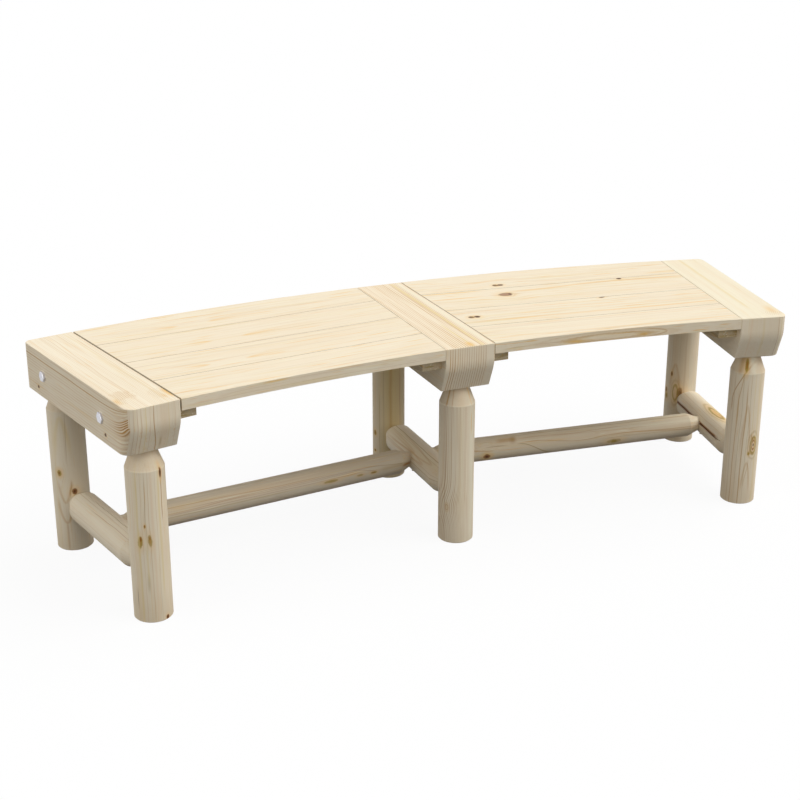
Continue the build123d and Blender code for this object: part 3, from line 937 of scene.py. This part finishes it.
def side_figures(wood, outer, x, y, z):
    """The growth layers in an end beam's outer side: long level lines that sweep up to the front corner."""
    patchy = smooth(noise((x, z, y), (7, 7, 130), 1, seeds["beam_side"]), -0.9, 0.8)
    near_front = calc("EXPONENT", (front_corner - y) / corner_reach)
    rise = smooth(abs(z - sweep_height), *sweep_edge) * sweep_rise + least_rise
    height = z - near_front * rise + wood.wobble * 0.5
    dark_line = smooth(abs(height - dark_line_height), dark_line_half, 0)
    wood.stain(dark_line * outer * 0.8, tawny)
    saw = calc("FRACT", height / arc_spacing)
    arcs = smooth(saw, 0.15, 0.6) * smooth(saw, 1.0, 0.65)
    in_heart = smooth(abs(height - heart_height), *heart_edge)
    wood.stain(arcs * in_heart * smooth(y, 2990, 2940) * outer, russet)
    wood.stain(arcs * in_heart * smooth(y, 3040, 2970) * outer * 0.35, tawny)
    low = calc("FRACT", (height - 2) / low_spacing)
    wood.stain(smooth(low, 0.3, 0.7) * smooth(low, 1.0, 0.75) * smooth(y, 3010, 2940) * outer * 0.4, tawny)
    layers = calc("FRACT", (height + wood.wobble) / layer_spacing)
    wood.stain(smooth(layers, 0.2, 0.7) * smooth(layers, 1.0, 0.7) * patchy * outer * 0.4, amber)
    face = Flat(y, z, outer)
    for place in side_knots:
        Knot(*place, 9, 7, body=umber, strength=0.9, core_strength=1).draw(wood, face)


def beam_wood(side, number):
    node = f"beam_{side}"
    wood = Wood(node)
    x, y, z = place_in(turns[side], arc_centre)
    right, outward, up = facing_in(turns[side])
    on_top = smooth(abs(up), *level_face)
    on_side = calc("GREATER_THAN", abs(right), abs(outward)) * (1 - on_top)
    on_end = (1 - on_side) * (1 - on_top)
    place = (x, blend(on_end, z, y), blend(on_end, y, z))
    wood.stain(on_top, top_colours[side])
    wood.grain(place, seeds["beam"] + number, fine=beam_fibre, lines=on_top * beam_lines[side],
               spacing=line_spacing[side], line_pigment=amber, **beam_looks[side])
    wood.figure(Flat(y, x, on_top), beam_figures[side]["top"])
    wood.figure(Flat(z, x, on_end), beam_figures[side]["end"])
    if side in outer_sign:
        outer = on_side * calc("GREATER_THAN", right * outer_sign[side], 0)
        side_figures(wood, outer, x, y, z)
    wood.finish(node)


cleat_olive = 0.6
cleat_sides = {
    "cleat_left": "left",
    "cleat_middle_left": "middle",
    "cleat_middle_right": "middle",
    "cleat_right": "right",
}


def cleat_wood(node, turn, seed):
    # The cleats' base colour holds painted shade from the seat boards above them
    wood = Wood(node, dun_with_painted_shade)
    x, y, z = place_in(turn, arc_centre)
    wood.grain((x, z, y), seed, tone=0.4, stripes=0.9, stripe=5)
    wood.stain(smooth(noise((x, z, y), (30, 4, 300), 1, seed + 20), -0.2, 0.9) * cleat_olive, olive)
    wood.finish(node)


# ---------------------------------------------------------------- pins and steel

def dress_pins():
    for number, node in enumerate(("leg_tenon_pins", "stretcher_tenon_pins", "rail_tenon_pins")):
        wood = Wood(node, sand)
        x, y, z = place_in(0, arc_centre)
        place = (x, y, z) if node == "rail_tenon_pins" else (y, z, x)
        wood.grain(place, seeds["pin"] + number, tone=0.3, stripe=1.5)
        wood.finish(node)


steel_nodes = (
    "end_bolts_left",
    "middle_bolts",
    "end_bolts_right",
    "bolt_nuts",
    "bolt_washers",
    "board_screws",
)
steel_metal = 0.75
steel_roughness = 0.38
steel_roughness_change = 0.06


def dress_steel():
    material = bpy.data.materials.new("zinc_plate")
    material.use_nodes = True
    global tree
    tree = material.node_tree
    x, y, z = place_in(0, arc_centre)
    spangle = noise((x, y, z), (2.5, 2.5, 2.5), 3, seeds["steel"])
    shader = tree.nodes["Principled BSDF"]
    feed(shader.inputs["Base Color"], paint(zinc_light, zinc_dark, smooth(spangle, -0.4, 1.2)))
    shader.inputs["Metallic"].default_value = steel_metal
    feed(shader.inputs["Roughness"], spangle * steel_roughness_change + steel_roughness)
    dress(material, *steel_nodes)


# ---------------------------------------------------------------- studio

def seen_directly():
    """1 for what the camera sees, also in reflections, and 0 for the light that falls on the bench."""
    path = tree.nodes.new("ShaderNodeLightPath")
    rays = [Field(path.outputs[kind]) for kind in ("Is Camera Ray", "Is Glossy Ray", "Is Transmission Ray")]
    return calc("MAXIMUM", calc("MAXIMUM", rays[0], rays[1]), rays[2])


def mix_shaders(share, first, second):
    node = tree.nodes.new("ShaderNodeMixShader")
    feed(node.inputs[0], share)
    tree.links.new(first, node.inputs[1])
    tree.links.new(second, node.inputs[2])
    return node.outputs[0]


def glow(kind, strength):
    node = tree.nodes.new(kind)
    node.inputs["Color"].default_value = (1, 1, 1, 1)
    node.inputs["Strength"].default_value = strength
    return node.outputs[0]


def matt(level):
    node = tree.nodes.new("ShaderNodeBsdfDiffuse")
    node.inputs["Color"].default_value = (level, level, level, 1)
    return node.outputs[0]


def make_world():
    global tree
    world = bpy.data.worlds.new("studio")
    bpy.context.scene.world = world
    world.use_nodes = True
    tree = world.node_tree
    tree.nodes.clear()
    output = tree.nodes.new("ShaderNodeOutputWorld")
    sky = glow("ShaderNodeBackground", sky_level)
    white = glow("ShaderNodeBackground", 1)
    tree.links.new(mix_shaders(seen_directly(), sky, white), output.inputs["Surface"])


def make_floor():
    global tree
    mesh = bpy.data.meshes.new("floor")
    corners = [(x * floor_half_size, y * floor_half_size, 0) for x, y in ((-1, -1), (1, -1), (1, 1), (-1, 1))]
    mesh.from_pydata(corners, [], [(0, 1, 2, 3)])
    floor = bpy.data.objects.new("floor", mesh)
    bpy.context.scene.collection.objects.link(floor)
    material = bpy.data.materials.new("floor")
    material.use_nodes = True
    mesh.materials.append(material)
    tree = material.node_tree
    tree.nodes.clear()
    output = tree.nodes.new("ShaderNodeOutputMaterial")
    white = mix_shaders(floor_shadow_share, glow("ShaderNodeEmission", 1), matt(1))
    tree.links.new(mix_shaders(seen_directly(), matt(floor_shade), white), output.inputs["Surface"])


def make_lamps():
    for name, (level, height, direction) in lamps.items():
        lamp = bpy.data.lights.new(name, "SUN")
        lamp.energy = level * pi
        lamp.angle = radians(lamp_softness)
        holder = bpy.data.objects.new(name, lamp)
        holder.rotation_euler = (0, radians(90 - height), radians(direction))
        bpy.context.scene.collection.objects.link(holder)


def make_camera():
    camera = bpy.data.cameras.new("camera")
    camera.lens = camera_lens
    camera.sensor_width = camera_sensor
    camera.shift_y = camera_shift
    camera.clip_end = camera_reach
    holder = bpy.data.objects.new("camera", camera)
    holder.location = camera_place
    holder.rotation_euler = (radians(90 - camera_pitch), 0, radians(-camera_turn))
    bpy.context.scene.collection.objects.link(holder)
    bpy.context.scene.camera = holder


dress_logs()
for section in section_turns:
    for number in range(1, 5):
        board_wood(section, number)
for number, side in enumerate(sides):
    beam_wood(side, number)
for number, (cleat, side) in enumerate(cleat_sides.items()):
    cleat_wood(cleat, turns[side], seeds["cleat"] + number)
dress_pins()
dress_steel()
make_world()
make_floor()
make_lamps()
make_camera()
bpy.context.scene.view_settings.view_transform = "Standard"
